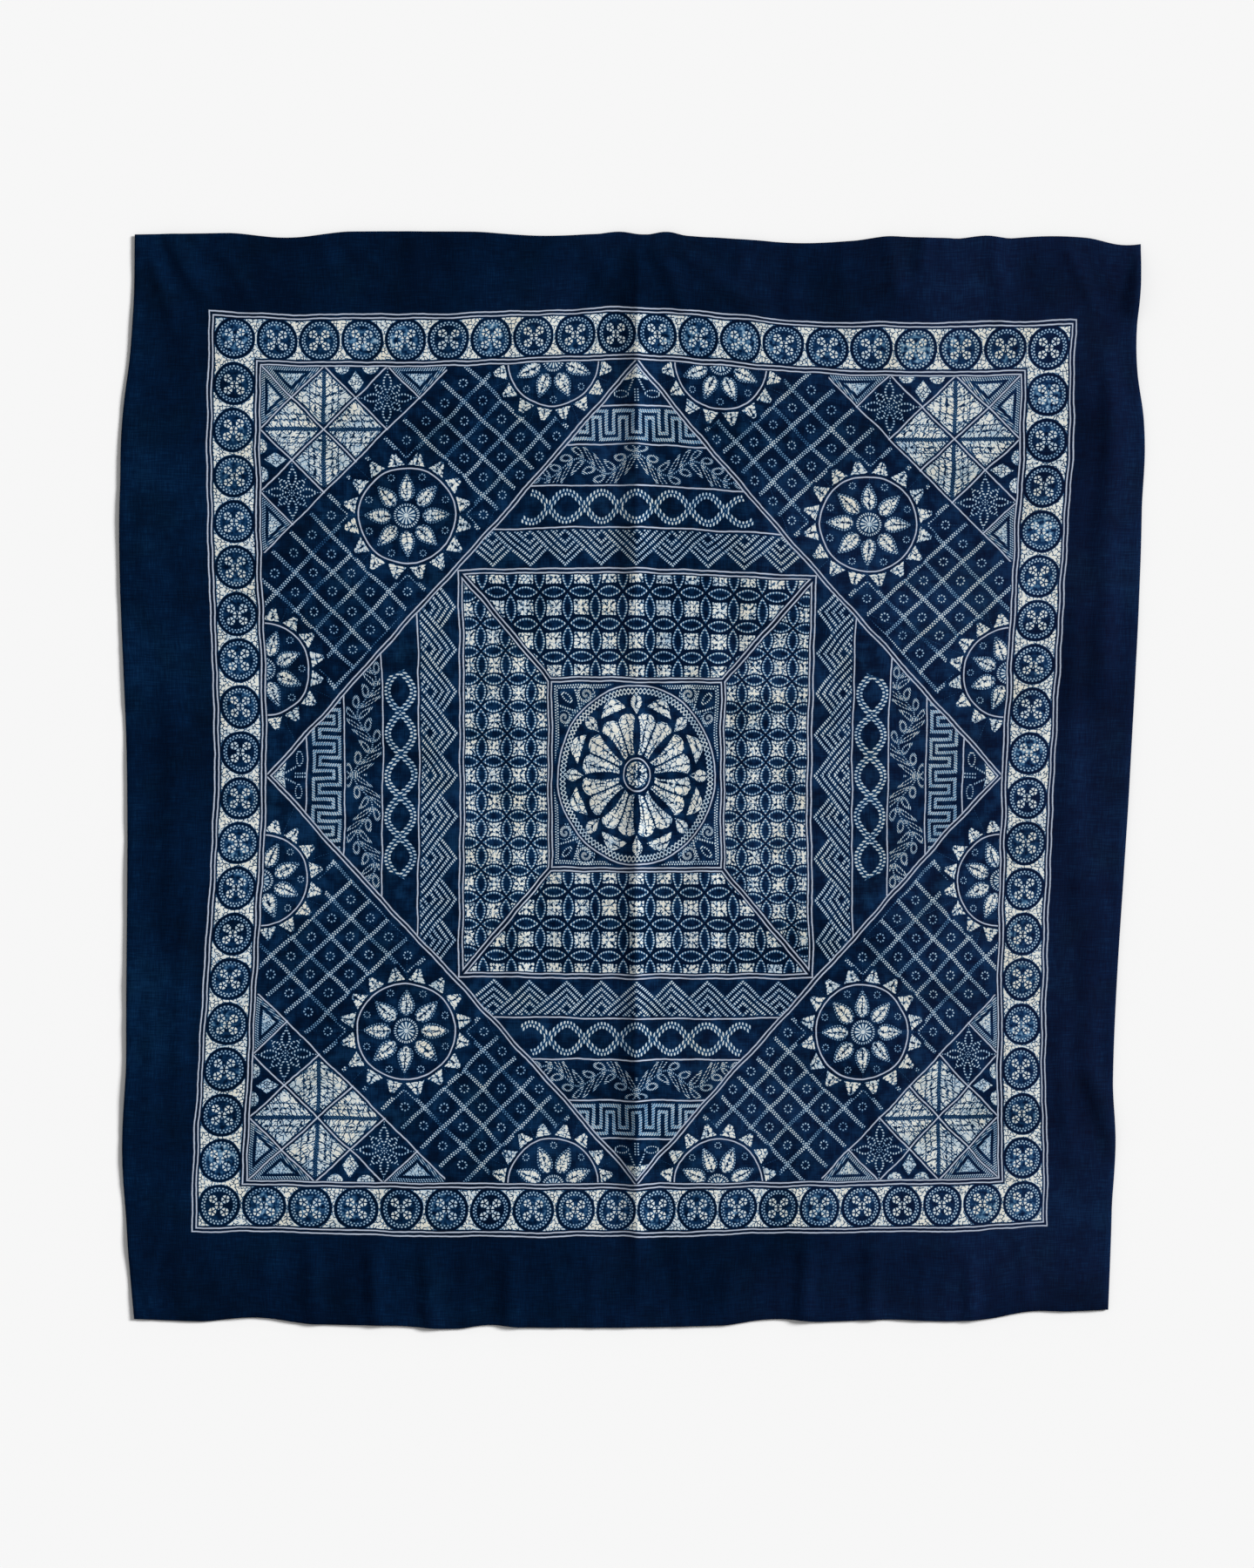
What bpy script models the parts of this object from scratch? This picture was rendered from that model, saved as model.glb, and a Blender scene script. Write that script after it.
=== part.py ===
"""A large square wrapping cloth of stitch-dyed indigo cotton, laid out face up.

The cloth is one sheet. It is drawn flat first, in its own cloth lines, then each
cloth line is laid where it comes to rest, and the folds that stay in the cloth
lift it off the surface. Everywhere else its underside is flat at height zero.
"""

import bisect
import math

import bmesh
import bpy

MM = 0.001

# The flat cloth, in metres from the middle of its pattern.
FLAT_LEFT = -0.667
FLAT_RIGHT = 0.651
FLAT_BOTTOM = -0.714
FLAT_TOP = 0.698
CLOTH_THICKNESS = 0.0015

# Mesh steps across and along the cloth; the folds run mostly upright.
CELLS_ACROSS = 72
CELLS_ALONG = 36

# The cloth is drawn in on both sides of the middle crease, up to this reach.
CREASE_REACH = 0.303
CREASE_GATHER = 0.012

# Where the upright cloth lines come to lie, in millimetres, section by section.
CLOTH_LINES_X = (-667, -559, -303, 0, 303, 559, 651)
SECTIONS_X = (
    # flat y, left hem, left frame, left quarter, middle, right quarter, right frame, right hem
    (698, -648, -552, -298, 0, 305, 569, 651),
    (596, -650, -552, -298, 0, 303, 569, 650),
    (334, -668, -554, -297, 0, 300, 557, 652),
    (0, -658, -545, -293, 0, 290, 539, 637),
    (-334, -659, -563, -298, 0, 292, 528, 617),
    (-596, -658, -574, -303, 0, 289, 530, 613),
    (-714, -649, -574, -303, 0, 289, 530, 609),
)

# How high the same sections come to lie, in millimetres, at five of the lines.
CLOTH_LINES_Y = (-667, -303, 0, 303, 651)
SECTIONS_Y = (
    # flat y, left hem, left quarter, middle, right quarter, right hem
    (698, 697, 701, 697, 691, 686),
    (596, 600, 594, 602, 583, 585),
    (334, 335, 334, 338, 323, 322),
    (0, -1, -1, -1, -2, -1),
    (-334, -331, -331, -334, -333, -330),
    (-596, -587, -595, -596, -591, -580),
    (-714, -703, -712, -714, -705, -691),
)

# Scallops of the four hems, in millimetres; each dies out over the hem depth.
HEM_DEPTH = 0.250
HEM_WAVES = (
    # hem, place along it, half width, outward
    ("top", -455, 80, -7),
    ("top", -130, 90, -4),
    ("top", -24, 30, 3),
    ("top", 40, 26, 4),
    ("top", 110, 60, -2),
    ("top", 210, 110, -7),
    ("top", 330, 50, 4),
    ("top", 388, 50, 3),
    ("top", 441, 36, 6),
    ("top", 535, 110, 7),
    ("top", 620, 50, -4),
    ("bottom", -478, 70, -7),
    ("bottom", -250, 60, 3),
    ("bottom", -195, 40, -3),
    ("bottom", 185, 70, -6),
    ("bottom", 440, 110, 6),
    ("bottom", 535, 60, -3),
    ("left", -490, 120, 5),
    ("left", 455, 90, 3),
    ("right", 560, 90, -5),
    ("right", 440, 90, 4),
    ("right", -490, 90, 4),
)

# Folds that stand up from the laid cloth, on the flat cloth, in millimetres.
FOLDS = (
    # name, start x, start y, end x, end y, half width, height
    ("middle crease upper", 3, 720, -2, 60, 30, 7.5),
    ("middle crease lower", -2, 140, 2, -740, 34, 9.0),
    ("middle crease right lip", 44, 430, 36, -520, 27, 3.2),
    ("middle crease left lip", -46, 330, -38, -430, 26, 2.6),
    ("left ripple inner", -106, 470, -98, -420, 30, 2.4),
    ("left ripple", -166, 360, -160, -500, 28, 2.8),
    ("left ripple outer", -238, 200, -226, -350, 32, 2.0),
    ("right ripple inner", 98, 380, 92, -460, 30, 2.6),
    ("right ripple", 160, 500, 150, -300, 34, 2.2),
    ("right ripple outer", 236, 120, 240, -480, 30, 2.0),
    ("top pin left ray", -6, 715, -84, 560, 17, 3.6),
    ("top pin left long ray", -10, 715, -190, 500, 20, 2.6),
    ("top pin right ray", 8, 715, 78, 570, 17, 3.6),
    ("top pin right long ray", 12, 715, 210, 560, 20, 2.4),
    ("top left corner ray", -628, 715, -548, 585, 20, 5.0),
    ("top left corner short ray", -650, 690, -600, 560, 16, 3.6),
    ("top right ray", 318, 715, 340, 610, 17, 4.0),
    ("top right short ray", 372, 715, 362, 650, 15, 4.2),
    ("top right low ray", 214, 690, 196, 600, 18, 3.0),
    ("top right corner curl", 668, 700, 640, 590, 30, 10.0),
    ("right border fold", 608, 620, 612, 40, 21, 6.0),
    ("right border inner fold", 574, 300, 580, -160, 18, 2.8),
    ("right border lower fold", 612, -60, 618, -420, 22, 3.4),
    ("right border slant fold", 616, -360, 654, -520, 20, 4.6),
    ("left border fold", -612, 260, -604, -330, 22, 3.4),
    ("left border inner fold", -583, 60, -588, -500, 17, 2.8),
    ("bottom flute 1", -412, -590, -408, -735, 17, 5.0),
    ("bottom flute 2", -338, -600, -334, -735, 16, 5.6),
    ("bottom flute 3", -272, -590, -266, -735, 18, 6.0),
    ("bottom flute 4", -166, -600, -168, -735, 20, 5.2),
    ("bottom flute 5", 232, -600, 228, -735, 18, 6.4),
    ("bottom flute 6", 322, -590, 316, -735, 20, 5.0),
    ("bottom flute 7", 452, -620, 456, -735, 16, 3.4),
)
FOLD_FADE = 0.30

CLOTH_COLOUR = (0.012, 0.040, 0.098, 1.0)
CLOTH_ROUGHNESS = 0.88


def through(stops, values, at):
    """The smooth curve through values at rising stops, read at one place."""
    last = len(stops) - 1
    i = min(max(bisect.bisect_right(stops, at) - 1, 0), last - 1)
    span = stops[i + 1] - stops[i]

    def slope(k):
        low, high = max(k - 1, 0), min(k + 1, last)
        return (values[high] - values[low]) / (stops[high] - stops[low])

    t = (at - stops[i]) / span
    bend = t * t * (3 - 2 * t)
    return (
        values[i] * (1 - bend)
        + values[i + 1] * bend
        + span * slope(i) * t * (1 - t) ** 2
        - span * slope(i + 1) * t * t * (1 - t)
    )


def hump(s):
    """One rounded hump: 1 at the middle, level and 0 from 1 on."""
    return (1 - s * s) ** 2 if abs(s) < 1 else 0.0


def section_table(sections, lines, x, y):
    """A laid position read from a table of sections, in metres."""
    rows = sorted(sections)
    across = [through(lines, row[1:], x / MM) for row in rows]
    return MM * through([row[0] for row in rows], across, y / MM)


def gather(x):
    """How far the middle crease draws the cloth in at x."""
    share = abs(x) / CREASE_REACH
    return -math.copysign(CREASE_GATHER * share * (1 - share), x) if share < 1 else 0.0


def hem_wave(hem, along, inward):
    """How far one hem's scallops carry the cloth outward."""
    fade = max(0.0, 1 - inward / HEM_DEPTH) ** 2
    waves = (w for w in HEM_WAVES if w[0] == hem)
    return fade * sum(MM * out * hump((along / MM - at) / half) for _, at, half, out in waves)


def laid(x, y):
    """Where a point of the flat cloth lies, seen from above."""
    lies_x = section_table(SECTIONS_X, CLOTH_LINES_X, x, y) + gather(x)
    lies_y = section_table(SECTIONS_Y, CLOTH_LINES_Y, x, y)
    lies_x += hem_wave("right", y, FLAT_RIGHT - x) - hem_wave("left", y, x - FLAT_LEFT)
    lies_y += hem_wave("top", x, FLAT_TOP - y) - hem_wave("bottom", x, y - FLAT_BOTTOM)
    return lies_x, lies_y


def fold_height(fold, x, y):
    """How high one fold lifts a point of the flat cloth."""
    _, x0, y0, x1, y1, half_width, height = fold
    run_x, run_y = MM * (x1 - x0), MM * (y1 - y0)
    length = math.hypot(run_x, run_y)
    from_x, from_y = x - MM * x0, y - MM * y0
    along = (from_x * run_x + from_y * run_y) / length**2
    aside = (from_x * run_y - from_y * run_x) / length
    if not 0 < along < 1:
        return 0.0
    ends = min(along, 1 - along) / FOLD_FADE
    fade = math.sin(0.5 * math.pi * min(ends, 1.0)) ** 2
    return MM * height * fade * hump(aside / (MM * half_width))


def lift(x, y):
    """The height of the underside: zero wherever no fold passes."""
    return sum(fold_height(fold, x, y) for fold in FOLDS)


def steps(low, high, count):
    return [low + (high - low) * i / count for i in range(count + 1)]


def cloth_mesh():
    """The laid sheet as one layer, with its outline centred on the origin."""
    across = steps(FLAT_LEFT, FLAT_RIGHT, CELLS_ACROSS)
    along = steps(FLAT_BOTTOM, FLAT_TOP, CELLS_ALONG)
    points = [[(*laid(x, y), lift(x, y)) for x in across] for y in along]
    flat_list = [p for row in points for p in row]
    middle_x = 0.5 * (min(p[0] for p in flat_list) + max(p[0] for p in flat_list))
    middle_y = 0.5 * (min(p[1] for p in flat_list) + max(p[1] for p in flat_list))

    mesh = bpy.data.meshes.new("cloth")
    bm = bmesh.new()
    grid = [[bm.verts.new((x - middle_x, y - middle_y, z)) for x, y, z in row] for row in points]
    for low, high in zip(grid, grid[1:]):
        for i in range(CELLS_ACROSS):
            bm.faces.new((low[i], low[i + 1], high[i + 1], high[i]))
    bm.to_mesh(mesh)
    bm.free()
    return mesh


def cloth_material():
    material = bpy.data.materials.new("indigo_cotton")
    material.use_nodes = True
    shader = material.node_tree.nodes["Principled BSDF"]
    shader.inputs["Base Color"].default_value = CLOTH_COLOUR
    shader.inputs["Roughness"].default_value = CLOTH_ROUGHNESS
    shader.inputs["Metallic"].default_value = 0.0
    return material


def make_cloth():
    cloth = bpy.data.objects.new("cloth", cloth_mesh())
    bpy.context.scene.collection.objects.link(cloth)
    cloth.data.materials.append(cloth_material())
    cloth.data.shade_smooth()
    thicken = cloth.modifiers.new("thickness", "SOLIDIFY")
    thicken.thickness = CLOTH_THICKNESS
    thicken.offset = 1.0
    thicken.use_rim = True
    return cloth


for old in list(bpy.data.objects):
    bpy.data.objects.remove(old)
make_cloth()
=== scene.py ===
import math

import bpy
import numpy as np
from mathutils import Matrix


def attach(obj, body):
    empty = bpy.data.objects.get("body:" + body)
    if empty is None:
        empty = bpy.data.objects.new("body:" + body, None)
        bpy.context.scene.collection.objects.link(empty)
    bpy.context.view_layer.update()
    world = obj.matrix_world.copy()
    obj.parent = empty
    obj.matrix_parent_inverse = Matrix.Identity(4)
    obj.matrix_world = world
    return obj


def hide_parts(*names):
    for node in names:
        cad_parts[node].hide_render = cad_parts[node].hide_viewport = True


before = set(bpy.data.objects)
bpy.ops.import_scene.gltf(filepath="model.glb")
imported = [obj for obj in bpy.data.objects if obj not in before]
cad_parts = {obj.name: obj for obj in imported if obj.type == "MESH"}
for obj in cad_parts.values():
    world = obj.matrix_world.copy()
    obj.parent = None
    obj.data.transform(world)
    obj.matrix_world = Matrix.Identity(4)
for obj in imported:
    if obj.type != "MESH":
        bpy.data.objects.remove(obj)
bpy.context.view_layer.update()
mm = 0.001

# the cloth: flat sizes in mm from the middle of its pattern

clothValues = {
    "left": -667, "right": 651, "bottom": -714, "top": 698,
    "thickness": 1.5,
    "meshStep": 6.4,
    "coarseAcross": 73, "coarseAlong": 37,    # lines of the sheet that the laid outline is measured on
    "creaseReach": 303, "creaseGather": 12,   # the middle crease draws the cloth in
    "hemDepth": 250,                          # how far a hem's scallop reaches into the cloth
    "foldFade": 0.30,                         # share of a fold's length that tapers at each end
    "hemWidth": 9, "hemRise": 0.5,            # the turned and pressed edge
    "rollWidth": 1.5, "rollDrop": 0.9,        # how the hem's very edge rolls down
    "crinkle": 0.75,                          # height of the small unpressed crinkles
    "slack": 1.9,                             # height of the soft slanting folds in the plain border
    "slackFrom": (565, 602), "slackFade": 25, # where they begin, and over how far they rise
    "pucker": 0.7, "puckerReach": 7,          # how far a stitched line draws the cloth down, and how wide
    "stitchedBoxes": ((556, 593), (495, 532), (238, 263)),
}

# where the upright lines of the cloth come to lie, section by section
linesAcross = (-667, -559, -303, 0, 303, 559, 651)
sectionsAcross = (
    # flat y, left hem, left frame, left quarter, middle, right quarter, right frame, right hem
    (-714, -649, -574, -303, 0, 289, 530, 609),
    (-596, -658, -574, -303, 0, 289, 530, 613),
    (-334, -659, -563, -298, 0, 292, 528, 617),
    (0, -658, -545, -293, 0, 290, 539, 637),
    (334, -668, -554, -297, 0, 300, 557, 652),
    (596, -650, -552, -298, 0, 303, 569, 650),
    (698, -648, -552, -298, 0, 305, 569, 651),
)

# how high the same sections come to lie, at five of the lines
linesAlong = (-667, -303, 0, 303, 651)
sectionsAlong = (
    # flat y, left hem, left quarter, middle, right quarter, right hem
    (-714, -703, -712, -714, -705, -691),
    (-596, -587, -595, -596, -591, -580),
    (-334, -331, -331, -334, -333, -330),
    (0, -1, -1, -1, -2, -1),
    (334, 335, 334, 338, 323, 322),
    (596, 600, 594, 602, 583, 585),
    (698, 697, 701, 697, 691, 686),
)

# scallops of the four hems: place along the hem, half width, outward
hemWaves = {
    "top": ((-455, 80, -7), (-130, 90, -4), (-24, 30, 3), (40, 26, 4), (110, 60, -2), (210, 110, -7),
            (330, 50, 4), (388, 50, 3), (441, 36, 6), (535, 110, 7), (620, 50, -4)),
    "bottom": ((-478, 70, -7), (-250, 60, 3), (-195, 40, -3), (185, 70, -6), (440, 110, 6), (535, 60, -3)),
    "left": ((-490, 120, 5), (455, 90, 3)),
    "right": ((560, 90, -5), (440, 90, 4), (-490, 90, 4)),
}

# folds that stand up from the laid cloth: start, end, half width, height
mainFolds = (
    (3, 720, -2, 60, 30, 7.5), (-2, 140, 2, -740, 34, 9.0),            # middle crease
    (44, 430, 36, -520, 27, 3.2), (-46, 330, -38, -430, 26, 2.6),      # its two lips
    (-106, 470, -98, -420, 30, 2.4), (-166, 360, -160, -500, 28, 2.8), (-238, 200, -226, -350, 32, 2.0),
    (98, 380, 92, -460, 30, 2.6), (160, 500, 150, -300, 34, 2.2), (236, 120, 240, -480, 30, 2.0),
    (-6, 715, -84, 560, 17, 3.6), (-10, 715, -190, 500, 20, 2.6),      # rays from where the top hem is held
    (8, 715, 78, 570, 17, 3.6), (12, 715, 210, 560, 20, 2.4),
    (-628, 715, -548, 585, 20, 5.0), (-650, 690, -600, 560, 16, 3.6),  # top left corner
    (318, 715, 340, 610, 17, 4.0), (372, 715, 362, 650, 15, 4.2), (214, 690, 196, 600, 18, 3.0),
    (668, 700, 640, 590, 30, 10.0),                                    # top right corner curl
    (608, 620, 612, 40, 21, 6.0), (574, 300, 580, -160, 18, 2.8),      # right border
    (612, -60, 618, -420, 22, 3.4), (616, -360, 654, -520, 20, 4.6),
    (-612, 260, -604, -330, 22, 3.4), (-583, 60, -588, -500, 17, 2.8), # left border
    (-412, -590, -408, -735, 17, 5.0), (-338, -600, -334, -735, 16, 5.6), (-272, -590, -266, -735, 18, 6.0),
    (-166, -600, -168, -735, 20, 5.2), (232, -600, 228, -735, 18, 6.4), (322, -590, 316, -735, 20, 5.0),
    (452, -620, 456, -735, 16, 3.4),                                   # bottom flutes
)

# what is left of the pressed folds, and small creases beside the big ones
fineFolds = (
    (3, 740, 0, 180, 10, 2.8), (0, 240, 1, -780, 10, 3.4),             # the sharp middle crease
    (-560, 700, -470, 560, 12, 1.6), (-420, 712, -380, 610, 12, 1.4), (-300, 712, -286, 620, 13, 1.5),
    (140, 712, 132, 610, 12, 1.6), (262, 712, 274, 606, 12, 1.8), (452, 712, 470, 560, 14, 1.8),
    (536, 700, 590, 600, 13, 2.0), (626, 560, 634, 210, 12, 2.2), (596, 420, 590, 160, 12, 1.6),
    (590, 40, 598, -240, 13, 1.8), (628, -120, 636, -330, 12, 1.8), (576, -300, 590, -520, 13, 1.6),
    (-640, 420, -636, 160, 13, 1.6), (-578, 330, -604, 120, 12, 1.8), (-560, -60, -600, -260, 12, 1.7),
    (-634, -240, -626, -520, 13, 1.6), (-590, -560, -640, -690, 13, 1.8),
    (-462, -600, -470, -730, 12, 1.8), (-226, -600, -222, -730, 12, 1.8), (-112, -600, -106, -730, 12, 1.7),
    (-64, -590, -58, -735, 11, 1.8), (56, -590, 60, -735, 11, 2.0), (128, -600, 124, -730, 12, 1.8),
    (384, -600, 388, -730, 12, 1.6), (520, -590, 534, -720, 13, 1.8),
    (-130, 420, -128, 120, 16, 1.2), (-196, 40, -192, -300, 16, 1.2), (130, -40, 126, -420, 16, 1.3),
    (64, 300, 66, -60, 14, 1.3), (-70, -20, -66, -380, 14, 1.3), (196, 420, 204, 60, 16, 1.1),
    (-330, 470, -300, 150, 18, 1.0), (340, 330, 318, -40, 18, 1.1), (-420, 120, -400, -260, 18, 1.0),
    (430, 60, 412, -320, 18, 1.0),
)


def through(stops, values, at):
    # the smooth curve through values (stops run down the first axis), read at many places
    stops = np.asarray(stops, float)
    values = np.asarray(values, float)
    last = len(stops) - 1
    i = np.clip(np.searchsorted(stops, at, side="right") - 1, 0, last - 1)
    place = np.arange(last + 1)
    low, high = np.maximum(place - 1, 0), np.minimum(place + 1, last)
    slope = (values[high] - values[low]) / (stops[high] - stops[low])[:, None]
    span = (stops[i + 1] - stops[i])[:, None]
    t = (at[:, None] - stops[i][:, None]) / span
    bend = t * t * (3 - 2 * t)
    held = values[i] * (1 - bend) + values[i + 1] * bend
    return held + span * (slope[i] * t * (1 - t) ** 2 - slope[i + 1] * t * t * (1 - t))


def hump(s):
    return np.where(np.abs(s) < 1, (1 - s * s) ** 2, 0)


def laidFrom(sections, lines, across, along):
    rows = np.asarray(sections, float)
    byLine = through(lines, rows[:, 1:].T, across)
    return through(rows[:, 0], byLine.T, along)


def hemWave(hem, along, inward):
    fade = np.maximum(0, 1 - inward / clothValues["hemDepth"]) ** 2
    return fade * sum(out * hump((along - at) / half) for at, half, out in hemWaves[hem])


def laidPlaces(across, along):
    # where each point of the flat cloth lies, seen from above
    v = clothValues
    x, y = np.meshgrid(across, along)
    share = np.minimum(np.abs(x) / v["creaseReach"], 1)
    laidX = laidFrom(sectionsAcross, linesAcross, across, along)
    laidX = laidX - np.sign(x) * v["creaseGather"] * share * (1 - share)
    laidY = laidFrom(sectionsAlong, linesAlong, across, along)
    laidX += hemWave("right", y, v["right"] - x) - hemWave("left", y, x - v["left"])
    laidY += hemWave("top", x, v["top"] - y) - hemWave("bottom", x, y - v["bottom"])
    return laidX, laidY


def laidMiddle():
    # the middle of the laid outline, which stands on the origin
    v = clothValues
    across = np.linspace(v["left"], v["right"], v["coarseAcross"])
    along = np.linspace(v["bottom"], v["top"], v["coarseAlong"])
    laidX, laidY = laidPlaces(across, along)
    return 0.5 * (laidX.min() + laidX.max()), 0.5 * (laidY.min() + laidY.max())


def foldHeights(folds, x, y):
    total = np.zeros_like(x)
    for x0, y0, x1, y1, halfWidth, height in folds:
        runX, runY = x1 - x0, y1 - y0
        length = math.hypot(runX, runY)
        part = ((x - x0) * runX + (y - y0) * runY) / length**2
        aside = ((x - x0) * runY - (y - y0) * runX) / length
        ends = np.clip(np.minimum(part, 1 - part) / clothValues["foldFade"], 0, 1)
        total += height * np.sin(0.5 * math.pi * ends) ** 2 * hump(aside / halfWidth)
    return total


def softNoise(x, y, cellX, cellY, seed):
    # rounded random heights between 0 and 1, cellX by cellY mm
    heights = np.random.default_rng(seed).random((400, 400))
    shift = 150   # keeps every place inside the table of heights
    u, v = x / cellX + shift, y / cellY + shift
    i, j = np.floor(u).astype(int), np.floor(v).astype(int)
    s, t = u - i, v - j
    s, t = s * s * (3 - 2 * s), t * t * (3 - 2 * t)
    low = heights[j, i] * (1 - s) + heights[j, i + 1] * s
    high = heights[j + 1, i] * (1 - s) + heights[j + 1, i + 1] * s
    return low * (1 - t) + high * t


def boxAt(x, y, halfX, halfY):
    return np.maximum(np.abs(x) - halfX, np.abs(y) - halfY)


def fineRelief(x, y):
    # small crinkles, and the troughs where stitching drew the cloth in
    v = clothValues
    crinkle = 0.5 * softNoise(x, y, 17, 30, 3)
    crinkle += 0.3 * softNoise(x + y, y - x, 14, 26, 5)
    crinkle += 0.2 * softNoise(x, y, 9, 9, 8)
    boxes = [np.abs(boxAt(x, y, halfX, halfY)) for halfX, halfY in v["stitchedBoxes"]]
    tipX, tipY = frames["field"]
    diamond = np.abs((np.abs(x) / tipX + np.abs(y) / tipY - 1) * 360 + 2)
    offStitch = np.minimum.reduce([*boxes, diamond]) / v["puckerReach"]
    pull = 0.6 + 0.4 * softNoise(x, y, 11, 11, 12)
    pucker = 1 - pull * np.exp(-(offStitch**2))
    border = np.clip(boxAt(x, y, *v["slackFrom"]) / v["slackFade"], 0, 1)
    slack = border * (softNoise(x + 0.35 * y, y, 30, 130, 21) + 0.6 * softNoise(x - 0.5 * y, y, 24, 70, 22))
    return v["slack"] * slack + v["crinkle"] * crinkle + v["pucker"] * pucker


def gridLines(anchors):
    step = clothValues["meshStep"]
    lines = [anchors[0]]
    for low, high in zip(anchors, anchors[1:]):
        count = max(1, round((high - low) / step))
        lines += [low + (high - low) * k / count for k in range(1, count + 1)]
    return np.array(lines, float)


# the pattern's zones meet in these straight gaps, so grid lines run along them
zones = {"frameX": 494.5, "frameY": 531.5, "innerX": 234.5, "innerY": 259.5, "cornerX": 251, "cornerY": 286}


def clothMesh():
    v, z = clothValues, zones
    x0, x1, y0, y1 = v["left"], v["right"], v["bottom"], v["top"]
    roll, hem = v["rollWidth"], v["hemWidth"]
    insideX = (-z["frameX"], -z["cornerX"], -z["innerX"], -4, 0, 4, z["innerX"], z["cornerX"], z["frameX"])
    insideY = (-z["frameY"], -z["cornerY"], -z["innerY"], z["innerY"], z["cornerY"], z["frameY"])
    across = gridLines((x0, x0 + roll, x0 + hem, *insideX, x1 - hem, x1 - roll, x1))
    along = gridLines((y0, y0 + roll, y0 + hem, *insideY, y1 - hem, y1 - roll, y1))
    middleX, middleY = laidMiddle()
    laidX, laidY = laidPlaces(across, along)
    x, y = np.meshgrid(across, along)
    edge = np.minimum.reduce([x - x0, x1 - x, y - y0, y1 - y])
    underside = foldHeights(mainFolds + fineFolds, x, y) + fineRelief(x, y)
    face = underside + v["thickness"] + v["hemRise"] * (edge < hem + 0.1) - v["rollDrop"] * (edge < 0.1)
    layers = [np.stack([laidX - middleX, laidY - middleY, height], -1) for height in (underside, face)]
    points = mm * np.concatenate([layer.reshape(-1, 3) for layer in layers])

    nx, ny = len(across), len(along)
    i, j = np.meshgrid(np.arange(nx - 1), np.arange(ny - 1))
    start = (j * nx + i).ravel()
    above = nx * ny
    lowFaces = np.stack([start, start + nx, start + nx + 1, start + 1], -1)
    highFaces = above + lowFaces[:, ::-1]
    ring = np.concatenate([np.arange(nx), np.arange(1, ny) * nx + nx - 1,
                           (ny - 1) * nx + np.arange(nx - 2, -1, -1), np.arange(ny - 2, 0, -1) * nx])
    after = np.roll(ring, -1)
    rimFaces = np.stack([ring, after, after + above, ring + above], -1)
    faces = np.concatenate([lowFaces, rimFaces, highFaces])

    mesh = bpy.data.meshes.new("clothSheet")
    mesh.from_pydata(points.tolist(), [], faces.tolist())
    flat = np.tile(np.stack([x, y, np.zeros_like(x)], -1).reshape(-1, 3), (2, 1))
    place = mesh.attributes.new("flatPlace", "FLOAT_VECTOR", "POINT")
    place.data.foreach_set("vector", flat.astype(np.float32).ravel())
    corners = flat[faces.ravel()]
    inset = 0.002   # keeps the unwrapped sheet just inside its square
    unit = (corners[:, :2] - [x0, y0]) / [x1 - x0, y1 - y0] * (1 - 2 * inset) + inset
    mesh.uv_layers.new(name="OFBake").uv.foreach_set("vector", unit.astype(np.float32).ravel())

    middle = np.abs(flat[faces].mean(1))
    zone = np.where(np.maximum(middle[:, 0] - z["frameX"], middle[:, 1] - z["frameY"]) > 0, 0, 1)
    zone[(zone == 1) & (middle[:, 0] > z["cornerX"]) & (middle[:, 1] > z["cornerY"])] = 2
    zone[(middle[:, 0] < z["innerX"]) & (middle[:, 1] < z["innerY"])] = 3
    mesh.polygons.foreach_set("material_index", zone.astype(np.int32))
    mesh.shade_smooth()
    mesh.set_sharp_from_angle(angle=math.radians(60))
    return mesh


# the dye: every motif is a sum worked out from its place on the flat cloth


class Wire:
    # one value that changes over the cloth; sums on it become Math nodes
    def __init__(self, tree, socket):
        self.tree = tree
        self.socket = socket

    def __add__(self, other):
        return sums("ADD", self, other)

    def __mul__(self, other):
        return sums("MULTIPLY", self, other)

    def __sub__(self, other):
        return sums("SUBTRACT", self, other)

    def __rsub__(self, other):
        return sums("SUBTRACT", other, self)

    def __truediv__(self, other):
        return sums("DIVIDE", self, other)

    __radd__ = __add__


def sums(operation, *values, clamp=False):
    tree = next(v.tree for v in values if isinstance(v, Wire))
    node = tree.nodes.new("ShaderNodeMath")
    node.operation = operation
    node.use_clamp = clamp
    for socket, value in zip(node.inputs, values):
        if isinstance(value, Wire):
            tree.links.new(value.socket, socket)
        else:
            socket.default_value = value
    return Wire(tree, node.outputs[0])


def scaled(value, factor, shift, clamp=False):
    # value times factor plus shift; clamp keeps it from 0 to 1
    return sums("MULTIPLY_ADD", value, factor, shift, clamp=clamp)


def size(value):
    return sums("ABSOLUTE", value)


def least(first, *others):
    for other in others:
        first = sums("MINIMUM", first, other)
    return first


def most(first, *others):
    for other in others:
        first = sums("MAXIMUM", first, other)
    return first


def cosine(value):
    return sums("COSINE", value)


def sine(value):
    return sums("SINE", value)


def longest(x, y):
    # straight distance from the origin
    return sums("SQRT", scaled(x, x, y * y))


def mirrored(value, period, start=0.0):
    # distance to the nearest of a row of places, period apart
    return sums("PINGPONG", value - start if start else value, period / 2)


def nearest(value, period, start=0.0):
    # the same with its sign kept
    return sums("WRAP", value - start if start else value, period / 2, -period / 2)


def over(value, limit):
    return sums("GREATER_THAN", value, limit)


def under(value, limit):
    return sums("LESS_THAN", value, limit)


def mixed(a, b, share):
    # a where share is 0, b where it is 1, for two plain numbers
    return scaled(share, b - a, a)


def filled(distance, soft=1.1):
    # 1 inside (distance below 0), 0 outside, with a soft dyed edge
    return scaled(distance, -1 / soft, 0.5, clamp=True)


def drawn(distance, width, soft=1.1):
    # a line of that width where distance is 0
    return scaled(size(distance), -1 / soft, 0.5 * width / soft + 0.5, clamp=True)


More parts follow.
